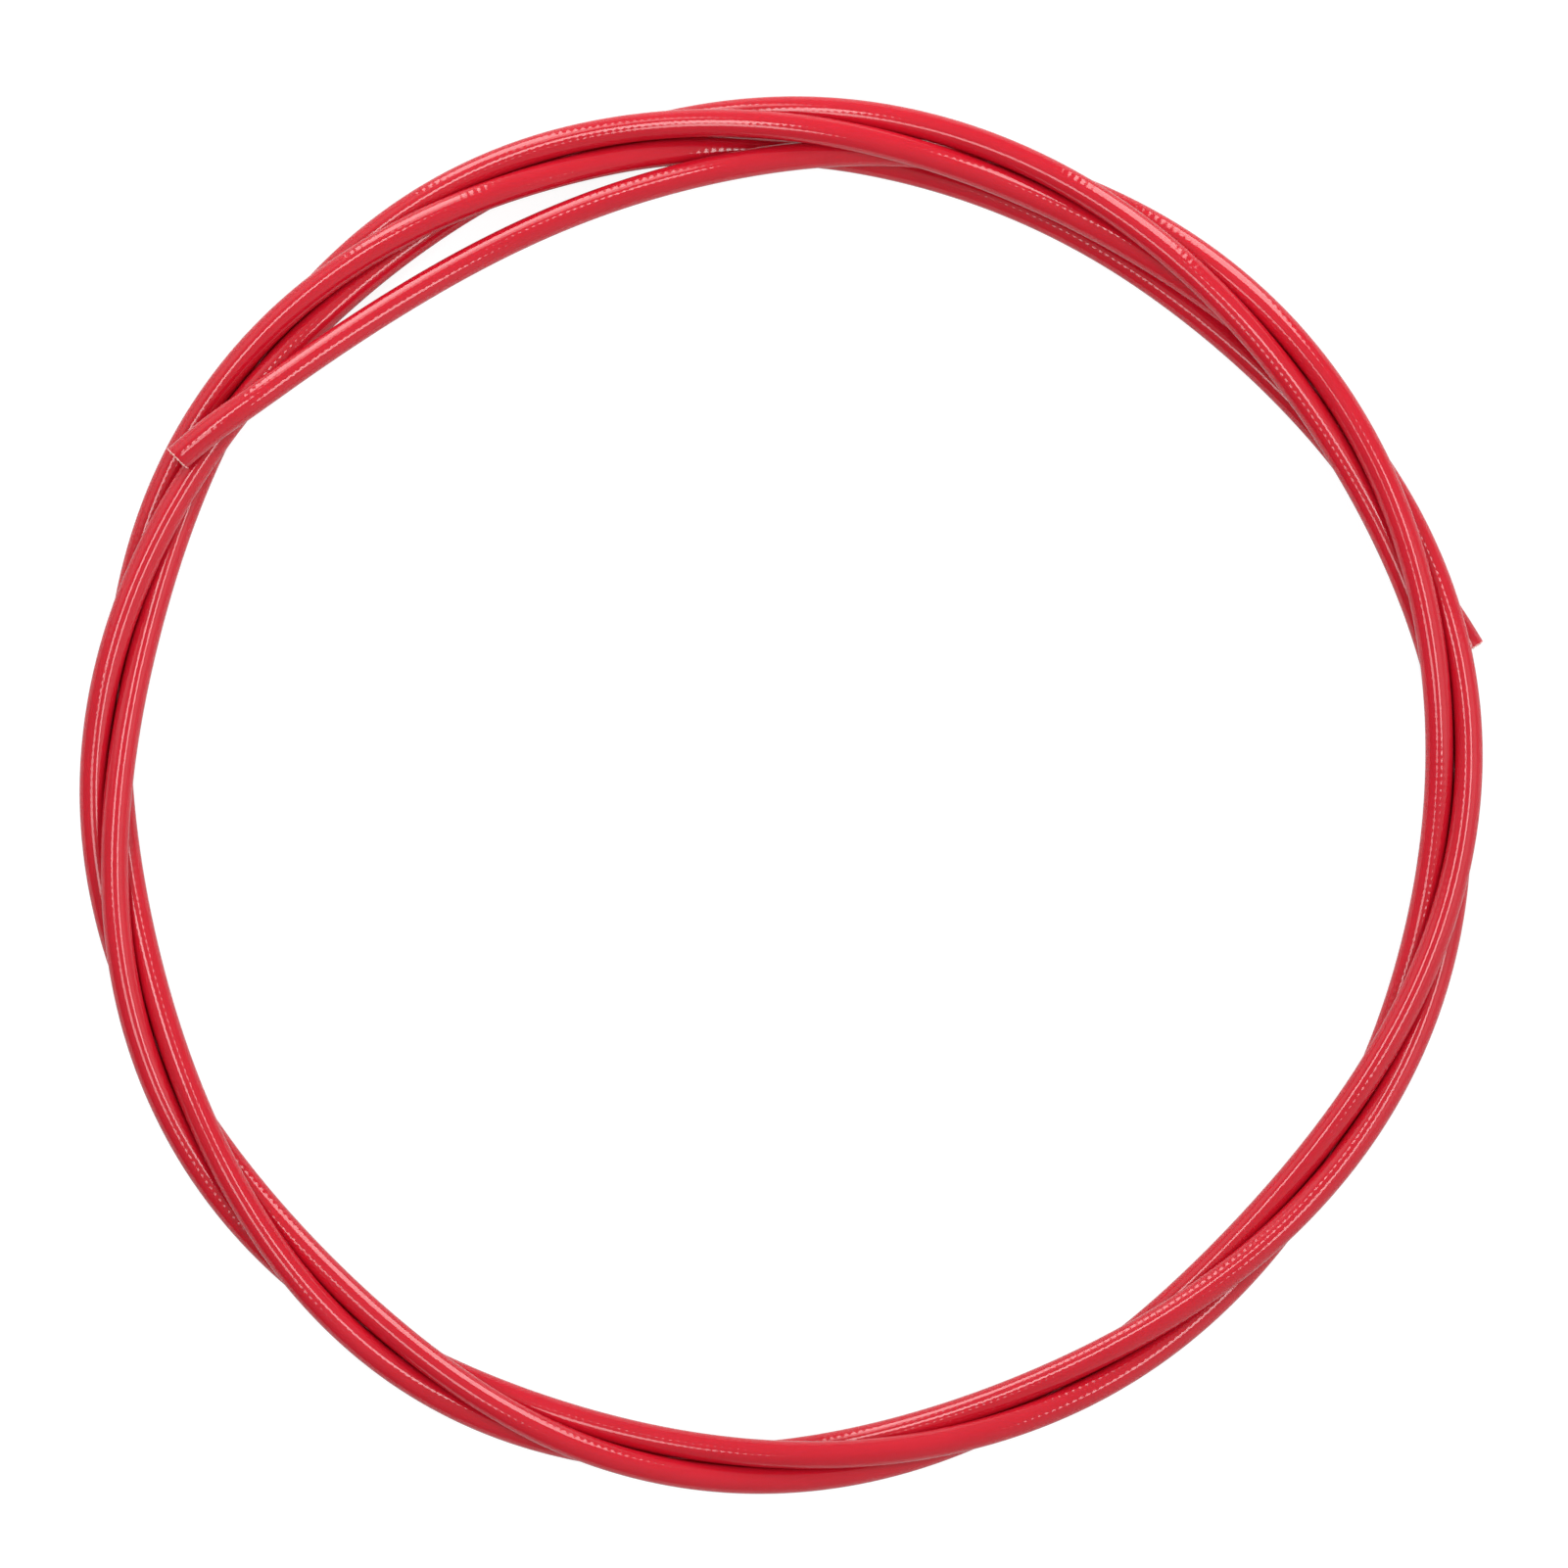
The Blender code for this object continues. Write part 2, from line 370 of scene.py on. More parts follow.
@dataclass
class HoseRoute:
    """The line down the middle of the hose, from the leading cut end to the trailing one."""

    sizes: HoseSizes = HoseSizes()
    coil_radius: float = 0.1212
    strand_pitch: float = 5.33 * MILLIMETRE
    strands: int = 3
    emerging_phase: float = -58.0
    twist_begins: float = 380.0
    twist_ends: float = 1426.0
    twist_step: float = 3.0
    # The bundle's ride over the last stretch: its lift in pitches, and the angles where it begins,
    # is full, fades and ends.
    riding_lift: float = 0.92
    riding_angles: tuple[float, ...] = (340.0, 372.0, 430.0, 470.0)
    # Where a strand comes up at the outer side: angle, and how many pitches the bundle stands out.
    emergences: tuple[tuple[float, float], ...] = (
        (25.9, -0.17), (60.3, 0.00), (95.6, -0.02), (130.6, -0.60), (162.9, -0.39), (196.2, 0.12),
        (224.8, 0.19), (255.1, 0.10), (285.8, 0.12), (317.0, 0.36), (349.6, 0.09),
    )
    # The free stretches: angle, and pitches outside the bundle's middle and above the ground turn.
    leading_end: tuple[tuple[float, float, float], ...] = (
        (299.2, 0.42, 1.86), (303.0, -0.16, 2.12), (306.0, -0.62, 2.17), (310.0, -1.10, 2.01),
        (316.0, -1.60, 1.66), (323.0, -1.93, 1.30), (331.0, -2.04, 1.03), (340.0, -1.93, 0.98),
        (349.0, -1.65, 1.13), (356.0, -1.33, 1.28), (363.0, -0.91, 1.13), (370.0, -0.48, 0.92),
        (375.0, -0.20, 0.81),
    )
    trailing_end: tuple[tuple[float, float, float], ...] = (
        (1431.0, -0.66, 0.66), (1437.0, -0.79, 0.30), (1443.0, -0.82, 0.06), (1449.0, -0.88, 0.00),
        (1458.0, -0.96, 0.00), (1470.0, -1.02, 0.00), (1482.0, -0.98, 0.00), (1488.0, -0.86, 0.00),
        (1494.0, -0.67, 0.00), (1500.0, -0.43, 0.00), (1510.0, 0.15, 0.00), (1515.0, 0.76, 0.00),
        (1517.9, 1.16, 0.00),
    )
    # Where the middle of the angles' polar grid is in the frame.
    centre: tuple[float, float, float] = (-0.000004, -0.000016, 0.00002)
    fine_step: float = 0.1

    @cached_property
    def lay_radius(self) -> float:
        """Radius of the circle on which the strands stand round the middle of the bundle."""
        return self.strand_pitch / (2 * math.sin(math.pi / self.strands))

    @cached_property
    def ring(self) -> tuple[Array, Array, Array]:
        """The emergences over every turn of the hose and a turn or two past its ends.

        Returns:
            Their angles, their offsets, and their count from the first one in the twist.
        """
        turns = 360.0 * np.arange(-1, self.strands + 3)
        angles, offsets = np.array(self.emergences).T
        everywhere = (turns[:, None] + angles[None, :]).ravel()
        count = np.arange(everywhere.size) - np.searchsorted(everywhere, self.twist_begins)
        return everywhere, np.tile(offsets, turns.size), count

    def bundle_radius(self, angle: Array) -> Array:
        """Radius of the bundle's middle: the coil's radius and a smooth curve of the offsets."""
        angles, offsets, _ = self.ring
        return self.coil_radius + self.strand_pitch * spline_through(angles, offsets)(angle)

    def bundle_lift(self, angle: Array) -> Array:
        """Height by which the bundle is lifted where it rides over the hose's last stretch.

        The lift is one eased rise less one eased fall, at the same places in every turn.

        Args:
            angle: Angles round the coil.

        Returns:
            The lift at each angle.
        """
        begins, full, fades, ends = self.riding_angles
        around = begins + (angle - begins) % 360
        share = eased((around - begins) / (full - begins)) - eased((around - fades) / (ends - fades))
        return self.riding_lift * self.strand_pitch * share

    def twisted(self, angle: Array) -> tuple[Array, Array]:
        """Radius and height where the hose is a strand of the bundle.

        The strand stands on a circle round the bundle's middle. It goes round that circle a
        third of a turn from each emergence to the next.

        Args:
            angle: Angles round the coil.

        Returns:
            The radius and the height at each angle.
        """
        angles, _, count = self.ring
        phase = np.radians(self.emerging_phase + 360 / self.strands * spline_through(angles, count)(angle))
        radius = self.bundle_radius(angle) + self.lay_radius * np.cos(phase)
        middle = self.sizes.diameter / 2 + self.lay_radius + self.bundle_lift(angle)
        return radius, middle + self.lay_radius * np.sin(phase)

    def free(self, stretch: tuple[tuple[float, float, float], ...]) -> tuple[Array, ...]:
        """Work out where a free stretch's own points are.

        Args:
            stretch: Their angles, distances outside the bundle's middle and heights, in pitches.

        Returns:
            Their angles, radii and heights.
        """
        angle, outside, above = np.array(stretch).T
        radius = self.bundle_radius(angle) + self.strand_pitch * outside
        return angle, radius, self.sizes.diameter / 2 + self.strand_pitch * above

    @cached_property
    def fine(self) -> Array:
        """Points along the route, close together and evenly spaced in angle.

        One smooth curve for the radius and one for the height run through the leading stretch,
        the twist's samples and the trailing stretch. A point is at radius times the sine and
        the cosine of its angle.

        Returns:
            One row of x, y, z for each point.
        """
        angles = np.arange(self.twist_begins, self.twist_ends, self.twist_step)
        parts = (self.free(self.leading_end), (angles, *self.twisted(angles)), self.free(self.trailing_end))
        stations, radii, heights = (np.concatenate(part) for part in zip(*parts))
        at = np.linspace(stations[0], stations[-1], round((stations[-1] - stations[0]) / self.fine_step) + 1)
        radius, height = spline_through(stations, radii)(at), spline_through(stations, heights)(at)
        turned = np.radians(at)
        return np.stack((radius * np.sin(turned), radius * np.cos(turned), height), axis=1) + self.centre

    @cached_property
    def length(self) -> float:
        """Length of the hose, in metres."""
        return float(np.linalg.norm(np.diff(self.fine, axis=0), axis=1).sum())

    def at(self, along: Array) -> Array:
        """Give points of the line, which goes straight on past its ends.

        Args:
            along: Distances along the hose; under 0 and over its length lie past the ends.

        Returns:
            The points, with x, y and z in the last axis.
        """
        steps = np.linalg.norm(np.diff(self.fine, axis=0), axis=1)
        travelled = np.concatenate(([0.0], np.cumsum(steps)))
        inside = np.clip(along, 0.0, travelled[-1])
        points = np.stack([np.interp(inside, travelled, self.fine[:, k]) for k in range(3)], axis=-1)
        first, last = unit(self.fine[1] - self.fine[0]), unit(self.fine[-1] - self.fine[-2])
        before, after = np.minimum(along, 0.0), np.maximum(along - travelled[-1], 0.0)
        return points + before[..., None] * first + after[..., None] * last

    def axes(self, along: Array) -> tuple[Array, Array, Array]:
        """Give unit vectors at distances along the hose.

        Args:
            along: Distances along the hose.

        Returns:
            The way the hose runs, the level way out of the coil, and the one square to both.
        """
        reach = 0.5 * MILLIMETRE
        ahead = unit(self.at(along + reach) - self.at(along - reach))
        outward = unit(np.cross((0.0, 0.0, 1.0), ahead))
        return ahead, outward, np.cross(ahead, outward)


@dataclass(frozen=True)
class KnifeCut:
    """How the knife went through the hose at one end, as the form of its face."""

    end: CutEnd
    looks_up: float
    looks_out: float
    reach: float = 8.0 * MILLIMETRE
    drag: float = 0.03 * MILLIMETRE
    # The waves that the knife's drag leaves: share of the drag, count round the hose, and phase.
    waves: tuple[tuple[float, float, float], ...] = ((1.0, 3.0, 0.6), (0.5, 7.0, 2.1))

    def proud(self, turned: Array, radius: Array) -> Array:
        """Give how far the face stands past the route's end at points of the hose's section.

        It is a leaning plane: less the place outward and the place upward, each times the
        tangent of the angle by which the face looks that way. Sines of the turn are the drag.

        Args:
            turned: Turn round the hose in radians.
            radius: Distance from the route.

        Returns:
            The distance past the end, the same shape as the two together.
        """
        outward = radius * np.cos(turned) * math.tan(math.radians(self.looks_out))
        upward = radius * np.sin(turned) * math.tan(math.radians(self.looks_up))
        dragged = sum(share * np.sin(count * turned + phase) for share, count, phase in self.waves)
        return self.drag * dragged - outward - upward


@dataclass
class Hose:
    """The hose's own space: a distance along it, a turn round it, a radius, and its two cuts."""

    route: HoseRoute = field(default_factory=HoseRoute)
    pattern: BraidPattern = BraidPattern()
    cuts: tuple[KnifeCut, KnifeCut] = (
        KnifeCut(CutEnd.LEADING, looks_up=8.5, looks_out=-3.7),
        KnifeCut(CutEnd.TRAILING, looks_up=-2.0, looks_out=2.2),
    )

    @property
    def sizes(self) -> HoseSizes:
        """The hose across its wall, as its route has it."""
        return self.route.sizes

    def point(self, along: Array, turned: Array, radius: Array) -> Array:
        """Give points in the hose.

        A point is the route's point, plus the radius times the cosine of the turn outward and
        the sine of it upward. Near a cut it is moved along the hose by what the face stands
        proud there, less and less over the cut's reach.

        Args:
            along: Distances along the hose; under 0 and over its length lie past the ends.
            turned: Turns round the hose in radians.
            radius: Distances from the route.

        Returns:
            The points, with x, y and z in the last axis.
        """
        along, turned, radius = np.broadcast_arrays(along, turned, radius)
        moved = along.astype(float)
        for cut in self.cuts:
            inside = along if cut.end is CutEnd.LEADING else self.route.length - along
            moved = moved + cut.end.value * eased(1 - inside / cut.reach) * cut.proud(turned, radius)
        _, outward, upward = self.route.axes(moved)
        across = np.cos(turned)[..., None] * outward + np.sin(turned)[..., None] * upward
        return self.route.at(moved) + radius[..., None] * across

    def past(self, end: CutEnd, distance: Array) -> Array:
        """Turn a distance past a cut end into a distance along the hose."""
        return -distance if end is CutEnd.LEADING else self.route.length + distance


# --- Finishes ---


@dataclass(frozen=True)
class ExtrudedPolyurethane:
    """The jacket: glossy red polyurethane that has sunk a little between the yarns under it."""

    colour: str = "c3172a"
    deeper: str = "b91224"
    patch: float = 14.0 * MILLIMETRE
    roughness: tuple[float, float] = (0.06, 0.10)
    refraction: float = 1.5
    relief: float = 0.011 * MILLIMETRE
    ribbed: float = 0.88
    tension: float = 40.0 * MILLIMETRE
    tightness: tuple[float, float] = (0.5, 1.2)
    glow: float = 0.35
    glow_depth: float = 0.8 * MILLIMETRE
    glow_reach: tuple[float, float, float] = (1.0, 0.12, 0.10)

    def braid_relief(self, tree: NodeTree, pattern: BraidPattern) -> Node:
        """Work out how high the surface stands over the braid, from -1 to 1.

        Most of the height is the cosine of the phase along the hose, the ribs that rows of
        crossings press up. The rest is half the sum of the cosines of the phases across the yarns.

        Args:
            tree: The material's node tree.
            pattern: The lattice of the braid.

        Returns:
            The node that gives the height.
        """
        along, across = pattern.phases(tree)
        ribs = add_node(tree, "Math", (along,), operation="COSINE")
        waves = [add_node(tree, "Math", (phase,), operation="COSINE") for phase in across]
        lattice = add_node(tree, "Math", waves, operation="ADD")
        lattice = add_node(tree, "Math", (lattice, (1 - self.ribbed) / 2), operation="MULTIPLY")
        return add_node(tree, "Math", (ribs, self.ribbed, lattice), operation="MULTIPLY_ADD")

    def material(self, pattern: BraidPattern) -> Material:
        """Make the material.

        Args:
            pattern: The lattice of the braid under the jacket.

        Returns:
            The material.
        """
        material, tree = new_material("extruded_polyurethane")
        noise = {"Vector": add_node(tree, "TexCoord").outputs["Object"], "Roughness": NOISE_ROUGHNESS}
        # Broad patches, so that the red is a little deeper here and there, as handled hose is.
        patches = add_node(tree, "TexNoise", noise | {"Scale": 1 / self.patch, "Detail": 3.0})
        # The same patches dull the gloss, so that the long highlights are not ruler-even.
        gloss = add_node(tree, "MapRange", (patches, *NOISE_SPAN, *self.roughness))
        # The braid shows as fine ticks across the highlights, clearer where the yarns are tighter.
        tension = add_node(tree, "TexNoise", noise | {"Scale": 1 / self.tension, "Detail": 1.0})
        tight = add_node(tree, "MapRange", (tension, *NOISE_SPAN, *self.tightness))
        height = add_node(tree, "Math", (self.braid_relief(tree, pattern), tight), operation="MULTIPLY")
        # Light that goes a little way in keeps the creases between the turns a clear deep red.
        add_surface(tree, (self.deeper, self.colour), patches, height, self.relief / 2, {
            "Roughness": gloss, "IOR": self.refraction, "Subsurface Weight": self.glow,
            "Subsurface Scale": self.glow_depth, "Subsurface Radius": self.glow_reach,
        })
        return material


@dataclass(frozen=True)
class TornPolyurethane:
    """The knife's face on the jacket: torn, whitened and matt."""

    colour: str = "f3cfcb"
    redder: str = "dd7a7c"
    roughness: float = 0.6
    grain: float = 0.25 * MILLIMETRE
    torn: float = 0.03 * MILLIMETRE

    def material(self) -> Material:
        """Make the material.

        Returns:
            The material.
        """
        material, tree = new_material("torn_polyurethane")
        # Whitened and redder spots a hair wide, as where the knife pulled the plastic.
        grain = add_node(tree, "TexNoise", {
            "Vector": add_node(tree, "TexCoord").outputs["Object"],
            "Scale": 1 / self.grain, "Detail": 4.0, "Roughness": NOISE_ROUGHNESS,
        })
        # The same grain is torn up, which takes the gloss off the face.
        add_surface(tree, (self.redder, self.colour), grain, grain, self.torn, {"Roughness": self.roughness})
        return material


@dataclass(frozen=True)
class AramidYarn:
    """The braid: dull cream yarn of fine fibres, woven over and under."""

    colour: str = "efe3c6"
    # Dark fibre streaks, and the painted shade between the crowns of woven yarn.
    streak_and_shade: str = "c4ae7c"
    roughness: float = 0.75
    sheen: float = 0.3
    # Streaks for the fibres, two or three times as wide as real ones, so that they show.
    fibre: float = 0.03 * MILLIMETRE
    fluff: float = 0.01 * MILLIMETRE
    crimp: float = 0.08 * MILLIMETRE
    woven: float = 0.7

    def weave(self, tree: NodeTree, pattern: BraidPattern) -> Node:
        """Work out the height of the woven yarns, from 0 to 1.

        Each way of winding gives crowns: the size of the cosine of half the phase across its
        yarns. The cosine of the phase along the hose says which way is on top, so the height is
        each crown times its share of being on top, added up.

        Args:
            tree: The material's node tree.
            pattern: The lattice of the braid.

        Returns:
            The node that gives the height.
        """
        along, across = pattern.phases(tree)
        row = add_node(tree, "Math", (along,), operation="COSINE")
        crowns = []
        for lay, phase in zip(YarnLay, across):
            half = add_node(tree, "Math", (phase, 0.5), operation="MULTIPLY")
            wave = add_node(tree, "Math", (half,), operation="COSINE")
            crown = add_node(tree, "Math", (wave,), operation="ABSOLUTE")
            on_top = add_node(tree, "Math", (row, lay.value / 2, 0.5), operation="MULTIPLY_ADD")
            crowns.append(add_node(tree, "Math", (crown, on_top), operation="MULTIPLY"))
        return add_node(tree, "Math", crowns, operation="ADD")

    def material(self, name: str, pattern: BraidPattern | None = None) -> Material:
        """Make the material.

        Args:
            name: Name of the material.
            pattern: The lattice where the yarn is woven, or None for loose yarn ends.

        Returns:
            The material.
        """
        material, tree = new_material(name)
        # Fibres show as fine light and dark streaks. Woven yarn also gets painted shade: the colour follows
        # the weave's height, darker in the hollows between its crowns.
        fibres = add_node(tree, "TexNoise", {
            "Vector": add_node(tree, "TexCoord").outputs["Object"],
            "Scale": 1 / self.fibre, "Detail": 2.0, "Roughness": NOISE_ROUGHNESS,
        })
        height, depth = (self.weave(tree, pattern), self.crimp) if pattern else (fibres, self.fluff)
        streaks = add_node(tree, "Math", (fibres, 1 - self.woven), operation="MULTIPLY")
        share = add_node(tree, "Math", (height, self.woven, streaks), operation="MULTIPLY_ADD")
        # The crowns stand proud, so that the sleeve looks woven and not printed. The same share sets the
        # colour, with its painted shade in the hollows.
        add_surface(tree, (self.streak_and_shade, self.colour), share, share, depth, {
            "Roughness": self.roughness, "Sheen Weight": self.sheen,
        })
        return material


@dataclass(frozen=True)
class NaturalNylon:
    """The liner: milky nylon, smooth, with faint clouds."""

    colour: str = "eeebe2"
    cloudier: str = "d8d3c4"
    roughness: float = 0.32
    cloud: float = 0.6 * MILLIMETRE
    die_lines: int = 36
    line_depth: float = 0.003 * MILLIMETRE
    glow: float = 0.3
    glow_depth: float = 0.4 * MILLIMETRE

    def material(self) -> Material:
        """Make the material.

        Returns:
            The material.
        """
        material, tree = new_material("natural_nylon")
        # Faint clouds in a milky body, which lets light a little way in.
        cloud = add_node(tree, "TexNoise", {
            "Vector": add_node(tree, "TexCoord").outputs["Object"],
            "Scale": 1 / self.cloud, "Detail": 2.0, "Roughness": NOISE_ROUGHNESS,
        })
        # Fine lines along the tube, left by the extruder's die: a sine of the turn round it.
        turns = add_node(tree, "SeparateXYZ", (add_node(tree, "UVMap", uv_map=HOSE_MAP),))
        turned = add_node(tree, "Math", (turns, math.tau * self.die_lines), operation="MULTIPLY")
        lines = add_node(tree, "Math", (turned,), operation="SINE")
        add_surface(tree, (self.cloudier, self.colour), cloud, lines, self.line_depth, {
            "Roughness": self.roughness, "Subsurface Weight": self.glow,
            "Subsurface Scale": self.glow_depth,
        })
        return material


@dataclass(frozen=True)
class MattPaper:
    """The paper under the hose: plain and matt. It may glow, and thin out where its mesh says so."""

    name: str
    colour: str
    glow: float = 0.0
    # The number on its mesh's points that says how much of the paper is there, or no name for all.
    cover: str = ""
    roughness: float = 0.9

    def material(self) -> Material:
        """Make the material.

        Returns:
            The material.
        """
        material, tree = new_material(self.name)
        inputs = {
            "Base Color": linear(self.colour), "Roughness": self.roughness, "Specular IOR Level": 0.0,
            "Emission Color": WHITE, "Emission Strength": self.glow,
        }
        if self.cover:
            inputs["Alpha"] = add_node(tree, "Attribute", attribute_name=self.cover).outputs["Fac"]
        add_node(tree, "OutputMaterial", (add_node(tree, "BsdfPrincipled", inputs),))
        return material


# --- The layers of the hose ---


def dress(piece: Object, material: Material) -> Object:
    """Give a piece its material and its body.

    Args:
        piece: The new piece.
        material: Its material.

    Returns:
        The same piece.
    """
    piece.data.materials.append(material)
    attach(piece, BODY)
    return piece


@dataclass
class TubeWall:
    """One layer of the hose as a closed wall: outside, cut face, inside and the other cut face."""

    hose: Hose
    layer: Layer
    outer_step: float
    inner_step: float
    sides: int
    proud: float
    rounding: float = 0.03 * MILLIMETRE
    swell: float = 0.0
    # The corner of a cut face: shares of the rounding past the edge and in from the surface.
    corner: tuple[tuple[float, float], ...] = ((0.7, 0.3), (1.0, 1.0))

    def profile(self) -> tuple[Array, Array]:
        """Give the wall's profile, which closes on itself.

        It runs along the outside, over the rounded corners of the far cut face, back along the
        inside and over the corners of the near face.

        Returns:
            Distances along the hose, and the radius at each.
        """
        outer, inner = self.hose.sizes.radii(self.layer)
        outer += self.swell
        near, far = -self.proud, self.hose.route.length + self.proud
        outside = np.linspace(near, far, round((far - near) / self.outer_step) + 1)
        inside = np.linspace(far, near, round((far - near) / self.inner_step) + 1)
        past, inset = self.rounding * np.array(self.corner).T
        bulge = np.concatenate((past, past[::-1]))
        face = np.concatenate((outer - inset, (inner + inset)[::-1]))
        along = np.concatenate((outside, far + bulge, inside, near - bulge))
        radius = np.concatenate((np.full(outside.size, outer), face, np.full(inside.size, inner), face[::-1]))
        return along, radius

    def make(self, name: str) -> Object:
        """Make the wall: its profile carried once round the hose, with the UV map along it.

        Args:
            name: Name of the piece.

        Returns:
            The piece, without a material.
        """
        along, radius = self.profile()
        turned = np.linspace(0.0, math.tau, self.sides, endpoint=False)
        points = self.hose.point(along[:, None], turned[None, :], radius[:, None])
        faces = grid_faces(along.size, self.sides, closed=True)
        column = (np.arange(len(faces)) % self.sides)[:, None]
        around = (column + np.array((0, 1, 1, 0))) / self.sides
        uv = np.stack((around, along[faces // self.sides] / MILLIMETRE), axis=-1)
        return make_piece(name, points.reshape(-1, 3), faces, uv)


@dataclass
class Jacket:
    """The red outer layer, which is all that shows of the hose but its two cut ends."""

    hose: Hose
    finish: ExtrudedPolyurethane = ExtrudedPolyurethane()
    torn: TornPolyurethane = TornPolyurethane()
    ring_step: float = 1.0 * MILLIMETRE
    bore_step: float = 4.0 * MILLIMETRE
    sides: int = 28
    proud: float = -0.03 * MILLIMETRE
    swell: float = 0.03 * MILLIMETRE
    rim_points: tuple[int, int] = (224, 12)
    rim_depth: float = 0.11 * MILLIMETRE
    rim_power: float = 0.6
    burr: float = 0.02 * MILLIMETRE
    lumps: float = 0.12 * MILLIMETRE
    lump_counts: tuple[int, int] = (9, 37)
    lump_thickness: float = 0.3
    seed: int = 5

    def build(self) -> Object:
        """Build the jacket.

        Returns:
            The piece.
        """
        wall = TubeWall(self.hose, Layer.JACKET, self.ring_step, self.bore_step, self.sides,
                        proud=self.proud, swell=self.swell)
        material = self.finish.material(self.hose.pattern)
        piece = dress(wall.make("hose_jacket"), material)
        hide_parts(Layer.JACKET.value)
        return piece

    def build_rim(self, end: CutEnd) -> Object:
        """Build the torn rim of the jacket at a cut end.

        The rim is a ring with a rounded square section: its middle, plus half the wall times the
        squared-off cosine in radius and the depth times the squared-off sine along the hose. The
        depth and the radius carry lumps, a sum of sines of the turn round the hose.

        Args:
            end: The cut end.

        Returns:
            The piece.
        """
        outer, inner = self.hose.sizes.radii(Layer.JACKET)
        outer += self.swell
        around, across = self.rim_points
        turned = np.linspace(0.0, math.tau, around, endpoint=False)[None, :]
        section = np.linspace(0.0, math.tau, across, endpoint=False)[:, None] * end.value
        chance = np.random.default_rng(self.seed + end.value)
        counts = np.arange(*self.lump_counts)[:, None, None]
        phases, weights = chance.random((2, counts.size, 1, 1))
        sines = weights * np.sin(counts * turned + math.tau * phases)
        lump = self.lumps / math.sqrt(counts.size) * sines.sum(axis=0)
        thick = (outer - inner) / 2 + self.burr + self.lump_thickness * lump
        radius = (outer + inner) / 2 + thick * squared_off(np.cos(section), self.rim_power)
        past = (self.rim_depth + lump) * squared_off(np.sin(section), self.rim_power)
        points = self.hose.point(self.hose.past(end, past), turned, radius)
        faces = grid_faces(across, around, closed=True)
        rim = make_piece(f"jacket_cut_rim_{end.name.lower()}", points.reshape(-1, 3), faces)
        return dress(rim, self.torn.material())


@dataclass
class Braid:
    """The woven sleeve of yarn, whose ends stand out of the two cuts."""

    hose: Hose
    finish: AramidYarn = AramidYarn()
    ring_step: float = 2.0 * MILLIMETRE
    sides: int = 20
    proud: float = -0.1 * MILLIMETRE
    yarn_width: float = 0.44 * MILLIMETRE
    # A yarn has hundreds of fibres of 0.012 mm. A few thick ones stand for them, so that they show.
    fibres: int = 9
    fibre_radius: float = 0.055 * MILLIMETRE
    rod_points: tuple[int, int] = (8, 6)
    stands_out: tuple[float, float] = (0.08 * MILLIMETRE, 0.34 * MILLIMETRE)
    held_in: float = 0.7 * MILLIMETRE
    scatter: float = 0.07 * MILLIMETRE
    splay: float = 0.16 * MILLIMETRE
    # The share of a fibre's length that is its tip, and how much of its section closes there.
    tip: tuple[float, float] = (0.2, 0.9)
    # A direction that no fibre runs in, from which its sides are counted.
    aside: tuple[float, float, float] = (0.31, 0.52, 0.79)
    seed: int = 11

    def build(self) -> Object:
        """Build the sleeve.

        Returns:
            The piece.
        """
        wall = TubeWall(self.hose, Layer.BRAID, self.ring_step, self.ring_step, self.sides, self.proud)
        material = self.finish.material("woven_aramid", self.hose.pattern)
        piece = dress(wall.make("hose_braid"), material)
        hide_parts(Layer.BRAID.value)
        return piece

    def build_ends(self, end: CutEnd) -> Object:
        """Build the yarn ends at a cut: bunches of short fibres, one bunch for each yarn.

        In the wall a fibre winds with its yarn: its turn is its yarn's, plus or less the
        lattice's twist times the distance along the hose. Past the cut it splays by the square
        of how far it is out. Each fibre is a rod whose tip narrows by a quarter of an ellipse.

        Args:
            end: The cut end.

        Returns:
            The piece.
        """
        chance = np.random.default_rng(self.seed + end.value)
        outer, inner = self.hose.sizes.radii(Layer.BRAID)
        middle = (outer + inner) / 2
        rings, sides = self.rod_points
        yarns = self.hose.pattern.yarns_each_way
        lays = [float(lay.value) for lay in YarnLay]
        lay, yarn, fibre = (
            numbers.ravel()[:, None]
            for numbers in np.meshgrid(lays, np.arange(yarns), np.arange(self.fibres), indexing="ij")
        )
        spot = chance.uniform(-1, 1, (4, lay.size, 1))
        least, most = self.stands_out
        out = least + (most - least) * (spot[0] + 1) / 2
        share = np.linspace(0.0, 1.0, rings)[None, :]
        past = share * (self.held_in + out) - self.held_in
        splay = self.splay * (np.maximum(past, 0) / most) ** 2
        place = ((fibre + 0.5) / self.fibres - 0.5) * self.yarn_width
        turned = math.tau * (yarn + lay / 4) / yarns + lay * self.hose.pattern.twist() * np.minimum(past, 0)
        turned = turned + (place + splay * spot[1]) / middle
        radius = middle + self.scatter * spot[2] + splay * spot[3]
        centres = self.hose.point(self.hose.past(end, past), turned, radius)
        ahead = unit(np.gradient(centres, axis=1))
        first = unit(np.cross(ahead, self.aside))
        second = np.cross(ahead, first)
        length, closes = self.tip
        thick = self.fibre_radius * np.sqrt(1 - (closes * np.maximum(share - 1 + length, 0) / length) ** 2)
        ring = np.linspace(0.0, math.tau, sides, endpoint=False)[:, None]
        across = np.cos(ring) * first[:, :, None] + np.sin(ring) * second[:, :, None]
        points = centres[:, :, None] + thick[..., None, None] * across
        faces = rod_faces(lay.size, rings, sides)
        tufts = make_piece(f"braid_yarn_ends_{end.name.lower()}", points.reshape(-1, 3), faces)
        return dress(tufts, self.finish.material("aramid_yarn"))


